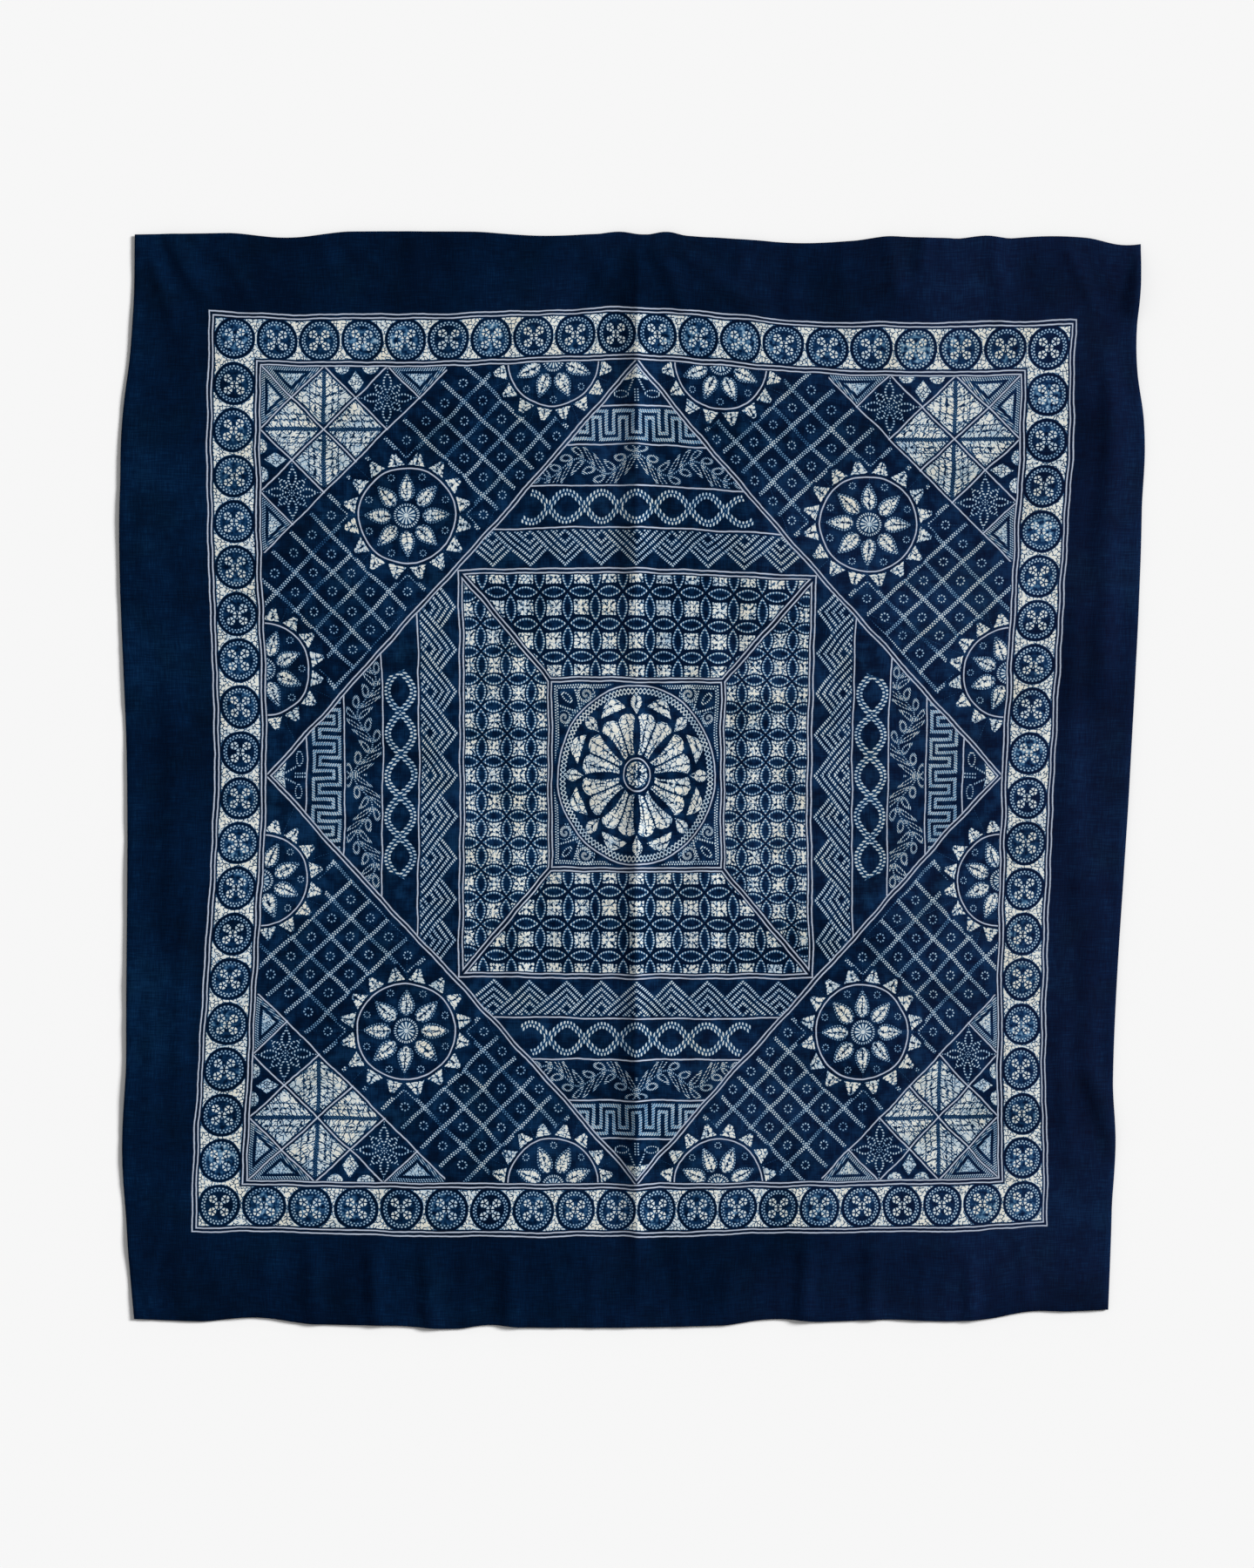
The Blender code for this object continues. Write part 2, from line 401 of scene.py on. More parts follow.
def newGroup(name, inputs, outputs):
    group = bpy.data.node_groups.new(name, "ShaderNodeTree")
    for label, value in inputs.items():
        group.interface.new_socket(label, in_out="INPUT", socket_type="NodeSocketFloat").default_value = value
    for label, kind in outputs.items():
        group.interface.new_socket(label, in_out="OUTPUT", socket_type=f"NodeSocket{kind}")
    entry = group.nodes.new("NodeGroupInput")
    return group, [Wire(group, entry.outputs[label]) for label in inputs]


def closeGroup(group, **results):
    ending = group.nodes.new("NodeGroupOutput")
    for label, wire in results.items():
        group.links.new(wire.socket, ending.inputs[label])
    return group


def placed(tree, group, **values):
    # one use of a group in a material: its inputs by name, its outputs as wires by name
    node = tree.nodes.new("ShaderNodeGroup")
    node.node_tree = group
    for label, value in values.items():
        if isinstance(value, Wire):
            tree.links.new(value.socket, node.inputs[label])
        else:
            node.inputs[label].default_value = value
    return {socket.name: Wire(tree, socket) for socket in node.outputs}


def pointAt(tree, x, y):
    where = tree.nodes.new("ShaderNodeCombineXYZ")
    tree.links.new(x.socket, where.inputs[0])
    tree.links.new(y.socket, where.inputs[1])
    return where.outputs[0]


def noiseAt(tree, x, y, scale, detail=1.0, kind="Fac"):
    place = pointAt(tree, x, y)
    noise = tree.nodes.new("ShaderNodeTexNoise")
    noise.noise_dimensions = "2D"
    noise.inputs["Scale"].default_value = scale
    noise.inputs["Detail"].default_value = detail
    tree.links.new(place, noise.inputs["Vector"])
    return Wire(tree, noise.outputs[kind])


def twoNoises(tree, x, y, scale):
    # two unlike noises at once
    both = noiseAt(tree, x, y, scale, 0.0, "Color")
    split = tree.nodes.new("ShaderNodeSeparateColor")
    tree.links.new(both.socket, split.inputs[0])
    return Wire(tree, split.outputs[0]), Wire(tree, split.outputs[1])


dyeValues = {
    "wobbleWide": 3.2, "wobbleNear": 0.6,   # mm by which hand stitching strays, over 40 mm and over 8 mm
    "crackleCell": 5.0, "crackleVein": 0.9, # the fine crackle, mm
    "wideCell": 8.0,                        # the same in notched parts, mm
    "notchPitch": 4.2, "notchWidth": 0.95,  # the dark notches in undyed parts, mm
    "lineWidth": 1.35,
    "deepest": (0.0001, 0.0040, 0.0160),    # the dye from its deepest to undyed cotton
    "deep": (0.0004, 0.0080, 0.0300),
    "rich": (0.0045, 0.0320, 0.0950),
    "middle": (0.065, 0.170, 0.300),
    "pale": (0.320, 0.450, 0.570),
    "cream": (0.720, 0.730, 0.680),
    "stain": (0.690, 0.660, 0.560),         # age marks on the undyed cotton
    "line": (0.520, 0.590, 0.720),          # the fine outlines
    "redder": (0.0024, 0.0006, 0.0030),     # added by the second dye bath, which took most on one side
    "sheen": 0.03,
    "weaveStrength": 0.35, "weaveDepth": 0.8,
}


def handPlaces():
    # the flat place in mm, with the small strays of hand stitching
    group, _ = newGroup("hand stitched places", {}, {"X": "Float", "Y": "Float"})
    place = group.nodes.new("ShaderNodeAttribute")
    place.attribute_name = "flatPlace"
    parts = group.nodes.new("ShaderNodeSeparateXYZ")
    group.links.new(place.outputs["Vector"], parts.inputs[0])
    x, y = Wire(group, parts.outputs[0]), Wire(group, parts.outputs[1])
    for span, reach in ((40, dyeValues["wobbleWide"]), (8, dyeValues["wobbleNear"])):
        sideways, upward = twoNoises(group, x, y, 1 / span)
        x = x + scaled(sideways, reach, -reach / 2)
        y = y + scaled(upward, reach, -reach / 2)
    return closeGroup(group, X=x, Y=y)


def crackle():
    # undyed cotton broken by the dark veins that seep in between gathered folds
    inputs = {"X": 0, "Y": 0, "Cell": dyeValues["crackleCell"]}
    group, (x, y, cell) = newGroup("resist crackle", inputs, {"Mask": "Float"})
    place = pointAt(group, x / cell, y / cell)
    cells = group.nodes.new("ShaderNodeTexVoronoi")
    cells.voronoi_dimensions = "2D"
    cells.feature = "DISTANCE_TO_EDGE"
    group.links.new(place, cells.inputs["Vector"])
    cells.inputs["Scale"].default_value = 1.0
    fromVein = Wire(group, cells.outputs["Distance"]) * cell - dyeValues["crackleVein"] / 2
    mask = filled(0 - fromVein, 0.6)
    healed = scaled(noiseAt(group, x, y, 1 / 5, 0.0), 5.0, -2.35, clamp=True)
    return closeGroup(group, Mask=most(mask, healed))


def pinched():
    # undyed cotton held by stitches: dark notches run in from its edge and out from its spine
    inputs = {"Depth": 0, "Along": 0, "Spine": 0, "X": 0, "Y": 0}
    group, (depth, along, spine, x, y) = newGroup("pinched resist", inputs, {"Mask": "Float"})
    aside, reach = twoNoises(group, x, y, 1 / 4.5)
    teeth = sums("PINGPONG", along + aside * 4.0, dyeValues["notchPitch"] / 2)
    offSpine = size(spine + aside * 2.4 - 1.2)
    taper = 1 - least(depth, offSpine) / scaled(reach, 6.5, 0.6)
    notch = scaled(taper * dyeValues["notchWidth"] - teeth, 1.1, 0.25, clamp=True)
    crack = filled(offSpine - scaled(reach, 2.6, -0.75), 0.9) * filled(1.6 - depth, 1.5)
    veins = placed(group, groups["crackle"], X=x, Y=y, Cell=dyeValues["wideCell"])["Mask"]
    mask = filled(0 - depth, 1.2) * (1 - most(notch, crack) * 0.96) * mixed(0.08, 1.0, veins)
    return closeGroup(group, Mask=mask)


def tinted(tree, kind, base, colour, share):
    # one colour laid over another, as strongly as share says
    mix = tree.nodes.new("ShaderNodeMix")
    mix.data_type = "RGBA"
    mix.blend_type = kind
    factor, laidUnder, laidOver = mix.inputs[0], mix.inputs[6], mix.inputs[7]
    laidOver.default_value = (*colour, 1)
    tree.links.new(share.socket, factor)
    tree.links.new(base, laidUnder)
    return mix.outputs[2]


def indigoCotton():
    # the dyed cloth itself: from how pale the resist left it to colour, roughness and height
    inputs = {"Pale": 0, "Line": 0, "X": 0, "Y": 0}
    outputs = {"Color": "Color", "Roughness": "Float", "Height": "Float"}
    group, (pale, line, x, y) = newGroup("indigo cotton", inputs, outputs)
    d = dyeValues
    cloud = noiseAt(group, x, y, 1 / 26, 2.0)
    weft = noiseAt(group, x * 0.045, y * 0.62, 1.0, 1.0)
    warp = noiseAt(group, x * 0.70, y * 0.05, 1.0, 1.0)
    streak = (weft + warp) * 0.5
    wide = noiseAt(group, x, y, 1 / 170, 1.0)
    shade = pale * (0.78 + cloud * 0.26) + (streak - 0.5) * (0.30 + pale * 0.10)
    shade = shade + scaled(cloud, 0.10, -0.05) + scaled(wide, 0.18, -0.035)
    # lighter towards the right, and along both side hems
    atHems = most(size(x - 40) - 575, 0.0) * 0.0006
    shade = shade + scaled(x, 0.00004, atHems)
    ramp = group.nodes.new("ShaderNodeValToRGB")
    stops = ((0.0, "deepest"), (0.10, "deep"), (0.34, "rich"),
             (0.55, "middle"), (0.76, "pale"), (0.97, "cream"))
    while len(ramp.color_ramp.elements) < len(stops):
        ramp.color_ramp.elements.new(0.5)
    for element, (at, name) in zip(ramp.color_ramp.elements, stops):
        element.position = at
        element.color = (*d[name], 1)
    group.links.new(shade.socket, ramp.inputs[0])
    taken = scaled(x, 1 / 700, wide * 1.4 - 0.55, clamp=True)
    bathed = tinted(group, "ADD", ramp.outputs[0], d["redder"], taken)
    aged = scaled(noiseAt(group, x, y, 1 / 60, 1.0), 3.2, -1.45, clamp=True)
    browner = [worn / clean for worn, clean in zip(d["stain"], d["cream"])]
    stained = tinted(group, "MULTIPLY", bathed, browner, aged)
    outlined = tinted(group, "MIX", stained, d["line"], line * (0.70 + weft * 0.5))
    roughness = 0.93 - pale * 0.07 + (streak - 0.5) * 0.1
    height = streak * 0.6 + cloud * 0.4
    return closeGroup(group, Color=Wire(group, outlined), Roughness=roughness, Height=height)


def boxLine():
    inputs = {"X": 0, "Y": 0, "HalfX": 100, "HalfY": 100}
    group, (x, y, halfX, halfY) = newGroup("box line", inputs, {"Mask": "Float"})
    mask = drawn(most(size(x) - halfX, size(y) - halfY), dyeValues["lineWidth"])
    return closeGroup(group, Mask=mask)


groups = {}

# half the width and height of each fine frame, mm
frames = {"outer": (559, 596), "outerInner": (554, 591), "inner": (497, 534), "field": (492, 529),
          "square": (238, 263)}


def startZone(name):
    material = bpy.data.materials.new(name)
    material.use_nodes = True
    tree = material.node_tree
    where = placed(tree, groups["places"])
    x, y = where["X"], where["Y"]
    return material, tree, x, y, size(x), size(y)


def endZone(material, tree, pale, line, x, y):
    d = dyeValues
    cotton = placed(tree, groups["cotton"], Pale=pale, Line=line, X=x, Y=y)
    shader = tree.nodes["Principled BSDF"]
    shader.inputs["Metallic"].default_value = 0.0
    shader.inputs["Specular IOR Level"].default_value = d["sheen"]
    tree.links.new(cotton["Color"].socket, shader.inputs["Base Color"])
    tree.links.new(cotton["Roughness"].socket, shader.inputs["Roughness"])
    bump = tree.nodes.new("ShaderNodeBump")
    bump.inputs["Strength"].default_value = d["weaveStrength"]
    bump.inputs["Distance"].default_value = d["weaveDepth"] * mm
    tree.links.new(cotton["Height"].socket, bump.inputs["Height"])
    tree.links.new(bump.outputs[0], shader.inputs["Normal"])
    return material


def framedBy(tree, x, y, *names):
    halves = [frames[name] for name in names]
    marks = [placed(tree, groups["line"], X=x, Y=y, HalfX=hx, HalfY=hy)["Mask"] for hx, hy in halves]
    return most(*marks)


def wave(along, pitch):
    # an angle that goes once round for each pitch
    return along * (2 * math.pi / pitch)


def beads(along, pitch=3.5):
    # a row of stitches that goes pale and dark along a line
    return scaled(cosine(wave(along, pitch)), 0.46, 0.54)


def ringOf(count):
    # the pitch of that many stitches round a ring, for an angle
    return 2 * math.pi / count


def stitched(distance, along, width=2.3, pitch=3.5):
    return drawn(distance, width) * beads(along, pitch)


def stitchedPair(distance, along, apart=1.5, width=2.0, pitch=3.5):
    # two rows of stitches, each set half a stitch on from the other
    shifted = scaled(over(distance, 0.0), math.pi, wave(along, pitch))
    return drawn(size(distance) - apart, width) * scaled(cosine(shifted), 0.46, 0.54)


def held(tree, x, y, depth, along, spine):
    # undyed and notched: depth is how far inside its edge, spine how far off its middle line
    return placed(tree, groups["pinched"], Depth=depth, Along=along, Spine=spine, X=x, Y=y)["Mask"]


def crackled(tree, x, y, distance, cell):
    # an undyed, crackled area where distance is below 0
    return filled(distance, 1.3) * placed(tree, groups["crackle"], X=x, Y=y, Cell=cell)["Mask"]


sunValues = {
    "x": 303, "y": 334,                 # the middle of a whole sun
    "stepX": 191, "stepY": 197,         # from there to the half suns on the frame
    "ring": 62,
    "clear": 76.0, "clearTo": 87.0,     # the lattice begins there between the rays, and there at their tips
    "rayFrom": 66.0, "rayTo": 82.8,
    "petalFrom": 19.6, "petalLength": 35.4, "petalWidth": 10.4,
    "disc": 14.2, "dotX": 48.97, "dotY": 20.28,
}


def sunPlace(ax, ay):
    # a place seen from its sun: across, up, and 1 or -1 near the half suns on the frame
    v = sunValues
    step = under(ay, 235) - under(ax, 207)
    across = scaled(step, -v["stepX"], ax - v["x"])
    up = scaled(step, v["stepY"], ay - v["y"])
    return across, up, size(step)


def petalledSun():
    # a ringed sun of eight petals; half suns stand on the frame, turned by half a petal
    v = sunValues
    outputs = {"Pale": "Float", "Line": "Float", "Clear": "Float"}
    group, (x, y) = newGroup("petalled sun", {"X": 0, "Y": 0}, outputs)
    lx, ly, half = sunPlace(size(x), size(y))
    r = longest(lx, ly) * (half * 0.033 + 1)
    turn = sums("ARCTAN2", ly, lx)
    rays = mirrored(turn, math.pi / 8, math.pi / 16)
    rayX, rayY = r * cosine(rays), r * sine(rays)
    ray = (45.6 - rayY - rayX * 0.52) * 0.89
    clear = filled(most(v["clear"] - r, least(ray + 5.0, v["clearTo"] - rayX)), 2.0)
    depth = least(ray, rayX - v["rayFrom"], v["rayTo"] - rayX)
    pale = held(group, x, y, depth, rayX, rayY) * 0.97
    line = drawn(r - v["ring"], dyeValues["lineWidth"])
    petal = mirrored(turn + half * (math.pi / 8), math.pi / 4)
    px, py = r * cosine(petal), r * sine(petal)
    part = scaled(px, 1 / v["petalLength"], -v["petalFrom"] / v["petalLength"], clamp=True)
    inward = sums("POWER", sine(sums("POWER", part, 0.64) * 3.14), 0.82) * v["petalWidth"] - py
    core = held(group, x, y, inward - 2.3, px, py) * scaled(inward, 0.11, 0.56, clamp=True)
    pale = most(pale, core, stitched(inward - 0.9, px, 1.9, 3.3) * 0.78)
    rim = drawn(r - v["disc"], 3.2) * beads(turn, ringOf(30))
    spokes = drawn(r - 7.2, 8.0) * mixed(0.16, 1.0, beads(turn, ringOf(12)))
    pale = most(pale, most(rim, spokes) * 0.95, filled(r - 3.2) * 0.85)
    dotX, dotY = px - v["dotX"], py - v["dotY"]
    dots = drawn(longest(dotX, dotY) - 3.8, 2.1) * beads(sums("ARCTAN2", dotY, dotX), ringOf(8))
    return closeGroup(group, Pale=most(pale, dots * 0.80), Line=line, Clear=clear)


latticeValues = {
    "pitch": 49, "rows": 34.65,         # across a square from tip to tip, and between two rows
    "rowGap": 1.3, "rowWidth": 2.4, "stitch": 3.4,
    "dotRing": 4.8,
    "rowsToCorner": 2.2,                # no row lies along the corner panel
    "rowsToTip": 6.6,                   # it stops level with the half suns, short of the diamond's tips
}


def latticeRows(across, along):
    v = latticeValues
    offRow = nearest(across, 1.0, 0.5) * v["rows"]
    return stitchedPair(offRow, along * v["rows"], v["rowGap"], v["rowWidth"], v["stitch"])


def stitchedLattice():
    # slanting rows of stitches with a ring of eight dots in each whole opening
    v = latticeValues
    group, (x, y) = newGroup("stitched lattice", {"X": 0, "Y": 0}, {"Pale": "Float"})
    p = scaled(size(x), 1 / v["pitch"], -sunValues["x"] / v["pitch"])
    q = scaled(size(y), 1 / v["pitch"], -sunValues["y"] / v["pitch"])
    s, t = p + q, p - q
    sCell, tCell = sums("ROUND", s), sums("ROUND", t)
    sNear, tNear = s - sCell, t - tCell
    rings = drawn(longest(sNear, tNear) * v["rows"] - v["dotRing"], 2.3)
    rings = rings * beads(sums("ARCTAN2", tNear, sNear), ringOf(8))
    cellX = scaled(sCell + tCell, v["pitch"] / 2, sunValues["x"])
    cellY = scaled(sCell - tCell, v["pitch"] / 2, sunValues["y"])
    sunX, sunY, _ = sunPlace(cellX, cellY)
    frameX, frameY = frames["field"]
    inFrame = least(frameX - 8 - cellX, frameY - 8 - cellY)
    whole = least(longest(sunX, sunY) - 96, diamondAt(cellX, cellY) - 10, 757 - cellX - cellY, inFrame)
    rings = rings * over(whole, 0.0) * 0.84
    fade = noiseAt(group, x, y, 1 / 40, 0.0)
    first = latticeRows(t, s) * scaled(fade, 0.9, 0.60, clamp=True)
    second = latticeRows(s, t) * scaled(fade, -1.0, 1.34, clamp=True)
    second = second * under(s, v["rowsToCorner"])
    return closeGroup(group, Pale=most(rings, first, second) * under(size(t), v["rowsToTip"]))


roundelValues = {
    "pitchX": 55.3, "pitchY": 59.2, "ring": 21.0, "beads": 30, "ground": 27.4, "floret": 5.3,
    "bandFrom": (500.2, 537.2), "bandTo": (551.0, 588.0),
}


def roundelBand(tree, x, y, ax, ay):
    # small roundels between the two frames, each with a beaded ring and five florets
    v = roundelValues
    lx, ly = mirrored(ax, v["pitchX"], v["pitchX"] / 2), mirrored(ay, v["pitchY"], v["pitchY"] / 2)
    r = longest(lx * 1.027, ly * 0.975)
    turn = sums("ARCTAN2", ly, lx)
    ring = stitchedPair(r - v["ring"], turn, 1.4, 2.3, ringOf(v["beads"]))
    corner = over(lx + ly, 8.0)
    across, up = scaled(corner, -8.0, lx), scaled(corner, -8.0, ly)
    floret = longest(across, up)
    split = mirrored(sums("ARCTAN2", up, across), ringOf(5)) * floret
    florets = filled(floret - v["floret"], 1.2) * scaled(split, 1.4, -0.55, clamp=True)
    patch = noiseAt(tree, x, y, 1 / 6, 1.0)
    bath = noiseAt(tree, x, y, 1 / 75, 0.0)
    ground = filled(r - 21.5, 4.0) * scaled(patch, 1.9, -0.45, clamp=True)
    ground = ground * scaled(bath, 1.3, -0.28, clamp=True)
    outside = crackled(tree, x, y, v["ground"] - r, 4.6)
    (fromX, fromY), (toX, toY) = v["bandFrom"], v["bandTo"]
    band = filled(most(ax - toX, ay - toY, least(fromX - ax, fromY - ay)), 1.3)
    return most(ring * 0.84, florets * 0.95, ground, outside) * band


def borderZone():
    material, tree, x, y, ax, ay = startZone("indigoBorder")
    motifs = roundelBand(tree, x, y, ax, ay)
    lines = framedBy(tree, x, y, "outer", "outerInner", "inner")
    return endZone(material, tree, motifs, lines, x, y)


def suns(tree, x, y, beyond):
    # lattice and suns, which fill the ground outside the diamond; the lattice stops where beyond is above 0
    sun = placed(tree, groups["sun"], X=x, Y=y)
    lattice = placed(tree, groups["lattice"], X=x, Y=y)["Pale"] * sun["Clear"] * filled(beyond, 1.3)
    return most(lattice, sun["Pale"]), sun["Line"]


def inField(ax, ay, inset):
    # 1 inside the field's frame, that far in from its line
    frameX, frameY = frames["field"]
    return filled(most(ax - (frameX - inset), ay - (frameY - inset)), 1.0)


def mottled(tree, x, y, grain, strength):
    # uneven dye on open ground
    return scaled(noiseAt(tree, x, y, 1 / grain, 2.0), strength, 0.075 - strength * 0.5)


# lines between the bands, up from the middle, and the steps of their motifs, mm
bandValues = {
    "first": 315.0, "second": 368.4, "third": 420.8, "last": 470.0,
    "lastOnSides": 473.5, "firstOnSides": 318.5, "narrower": 1.047,
    "chevron": 48.2, "row": 10.2,
    "cable": 341.6, "cableOnSides": 343.6, "crossing": 47.5, "cableRise": 18.0,
    "stem": 397.0, "leafWave": 80, "leafRise": 11.5, "leaf": 14.5,
    "meander": 445.6, "key": 18, "keyRise": 13.8,
}


def zigzag(along, v, side):
    # plaited chevrons: one arm of each runs over, the other shows in between
    period, row = bandValues["chevron"], bandValues["row"]
    u = along * mixed(1.0, 0.893, side)
    rise = (v - 268.0) * 1.11
    first = sums("WRAP", rise - u + 3.0, period, 0.0) - 3.0
    second = sums("WRAP", rise + u + 3.0, period, 0.0) - 3.0
    limit = least(rise + 1.0, 34.5)
    other = over(first, limit)
    across = scaled(other, second - first, first)
    rungs = scaled(other, first - second, second)
    distance = mirrored(across, row) * 0.67
    rows = drawn(distance, 3.6) * scaled(cosine(wave(rungs, 4.6)), 0.40, 0.60)
    return rows * under(across, limit)


def cable(along, v, side):
    # two beaded strands that cross again and again, open at both ends
    b = bandValues
    u = along * mixed(1.0, 0.88, side) * (math.pi / b["crossing"])
    slope = sine(u) * 1.19
    y = v - mixed(b["cable"], b["cableOnSides"], side)
    distance = (size(y) - size(cosine(u)) * b["cableRise"]) / sums("SQRT", slope * slope + 1.0)
    strand = most(stitchedPair(distance, along, 2.5, 3.7, 4.6), filled(size(distance) - 3.0, 1.5) * 0.30)
    return strand * filled(along + y * 0.42 - mixed(150, 133, side), 1.3)


def leafSpray(along, v):
    # a waving stem with small dotted leaves on both sides
    b = bandValues
    y = v - b["stem"] - cosine(wave(along, b["leafWave"])) * b["leafRise"] + along * 0.07
    stem = stitched(y, along, 2.3, 2.8) * 0.84
    reach = size(y)
    lx = nearest(along - reach * 0.80, b["leaf"]) / 3.9
    ly = scaled(reach, 1 / 7.2, -9.4 / 7.2)
    oval = stitched(longest(lx, ly) * 3.9 - 3.7, reach * 1.2, 2.4, 3.0)
    return most(stem, oval) * filled(most(v - 418.0, 371.0 - v), 1.5)


def meander(along, v):
    # a square wave drawn as two dotted ropes
    step, rise = bandValues["key"], bandValues["keyRise"]
    y = v - bandValues["meander"]
    cell = sums("ROUND", along / step)
    lx = size(scaled(cell, -step, along))
    ly = y * cosine(cell * math.pi)
    distance = least(size(ly + rise), most(step / 2 - lx, size(ly) - rise)) - 4.1
    rope = most(stitchedPair(distance, along + y, 1.25, 2.3, 3.3), drawn(distance, 3.0) * 0.60)
    return rope * 0.96


def apex(tree, x, y, along, v):
    # the small figure in the tip: a crackled roof, two legs, two swags and a stem
    pale = crackled(tree, x, y, most(v + along - 519.5, 505.0 - along * 0.15 - v), 3.6) * 0.92
    legs = stitched(scaled(v, -0.5, 255.5) - along, v, 2.8, 3.2)
    legs = legs * filled(most(v - 505, 489.0 - v), 1.3)
    swag = stitched(longest(along - 21.5, (v - 484.5) * 2.0) - 8.8, along, 3.0, 3.0)
    stem = stitched(along - 2.2, v, 2.4, 3.4) * filled(most(v - 491, 474.0 - v), 1.3)
    return most(pale, most(legs, swag, stem) * 0.92)


def triangleBands(tree, x, y, ax, ay, diamond):
    # the four triangles between square and diamond, in bands; the side ones are a little narrower
    b = bandValues
    squareX, squareY = frames["square"]
    side = over(ax * (squareY / squareX), ay)
    along = scaled(side, ay - ax, ax)
    v = scaled(side, ax - ay, ay) * mixed(1.0, b["narrower"], side) + side * 13.8
    first = mixed(b["first"], b["firstOnSides"], side)
    last = mixed(b["last"], b["lastOnSides"], side)
    gap = 2.5   # between the square's line and the bands
    inside = filled(diamond + 5.5, 1.0) * filled(least(squareX + gap - ax, squareY + gap - ay), 1.0)
    offLine = least(size(v - first), size(v - b["second"]), size(v - b["third"]), size(v - last))
    lines = drawn(offLine, dyeValues["lineWidth"])
    pale = zigzag(along, v, side) * filled(v - first + 3.2, 1.3)
    pale = most(pale, cable(along, v, side))
    pale = most(pale, leafSpray(along, v))
    pale = most(pale, meander(along, v) * filled(most(424.0 - v, v - last + 2.5), 1.3))
    pale = most(pale, apex(tree, x, y, along, v) * over(v, last))
    return pale * inside, lines * inside


def diamondAt(ax, ay):
    # how far outside the diamond, whose tips stand on the field's frame
    tipX, tipY = frames["field"]
    inner = 360.3   # from the middle to a side
    return scaled(ax, inner / tipX, scaled(ay, inner / tipY, -inner))


def fieldZone():
    material, tree, x, y, ax, ay = startZone("indigoField")
    diamond = diamondAt(ax, ay)
    pale, line = suns(tree, x, y, most(8.0 - diamond, ax + ay - 766))
    outside = filled(1.2 - diamond, 1.0)
    pale, line = pale * outside, line * outside
    bands, bandLines = triangleBands(tree, x, y, ax, ay, diamond)
    line = most(line, bandLines, drawn(size(diamond + 2.3) - 2.3, dyeValues["lineWidth"]))
    keep = inField(ax, ay, 2.0)
    pale = most(pale, bands, mottled(tree, x, y, 17, 0.42)) * keep
    line = most(line * keep, framedBy(tree, x, y, "field", "square", "inner"))
    return endZone(material, tree, pale, line, x, y)


cornerValues = {
    "square": 82.3, "side": 58.2,   # across a square from tip to tip, and along its side
    "triangleRow": 8.4,             # between the dotted rows of a triangle
    "axisPetal": 5.6, "slantPetal": 4.6,
}


def cornerPanel(tree, x, y, ax, ay):
    # a lattice of squares standing on their corners, the middle four undyed and crackled
    c = cornerValues
    frameX, frameY = frames["field"]
    a, b = frameX - ax, frameY - ay
    s = (a + b) / c["square"]
    t = size(a - b) / c["square"]
    far, near = most(a, b), least(a, b)
    outer = over(s, 2.0)
    wide = over(t, 1.0)
    gap = least(mirrored(s, 1.0), mirrored(t, 1.0)) * c["side"]
    lines = drawn(gap, dyeValues["lineWidth"])
    # undyed squares with a dotted seam, each half parted into lobes
    m = size(scaled(outer, near - far, far - c["square"]))
    n = scaled(outer, far - near - c["square"], near - 41.1)
    lobe = nearest(n + m * 0.35, 24)
    parted = least(size(m - 18.5), 12 - size(lobe) + over(m, 18.5) * 9)
    depth = least(gap - 3.2, m - 2.3, parted - 0.3)
    square = held(tree, x, y, depth, n + m * 0.8, least(size(lobe), size(m - 11)))
    seam = stitchedPair(m, near + far, 1.0, 1.9, 3.0) * 0.48 * filled(4.0 - gap, 1.3)
    undyed = most(square * 0.94, seam) * over(s, 1.0) * under(t, 1.0)
    # dotted triangles one inside the other
    inset = least(near, gap)
    row = c["triangleRow"]
    nested = stitchedPair(mirrored(inset, row, row / 2), far + near * 0.6, 1.3, 2.4, 3.1) * 0.88
    nested = most(nested * filled(2.0 - inset, 1.0), crackled(tree, x, y, 10.8 - inset, 3.8) * 0.86)
    cornerCell, endCell = under(s, 1.0), outer * over(t, 2.0)
    # a small lozenge and two half discs on the frame
    lozenge = most(size(far - 123.5) * 0.82 + size(near - 20.5) * 0.57 - 8.2, 0.0 - near)
    disc = longest(mirrored(far, 37.0, 106.0), near) - 10.5
    small = crackled(tree, x, y, least(lozenge, most(disc, 3.5 - gap)), 3.8) * 0.9 * wide * under(s, 2.0)
    # a flower of eight petals outlined in dots
    across, up = size(far - 164.6), size(near - 41.1)
    long, short = most(across, up), least(across, up)
    bulge = sine(scaled(long, 1 / 26, -6.5 / 26, clamp=True) * math.pi)
    axisPetal = bulge * c["axisPetal"] - short
    slant, off = (long + short) * 0.707, (long - short) * 0.707
    bulge = sine(scaled(slant, 1 / 16, -7.5 / 16, clamp=True) * math.pi)
    slantPetal = bulge * c["slantPetal"] - off
    petals = most(stitched(axisPetal - 0.7, long, 2.7, 3.7), stitched(slantPetal - 0.7, slant, 2.7, 3.5))
    petals = petals * 0.92 * wide * outer * under(t, 2.0)
    pale = most(undyed, nested * (cornerCell + endCell), small, petals)
    return pale * filled(1.8 - gap, 1.2), lines


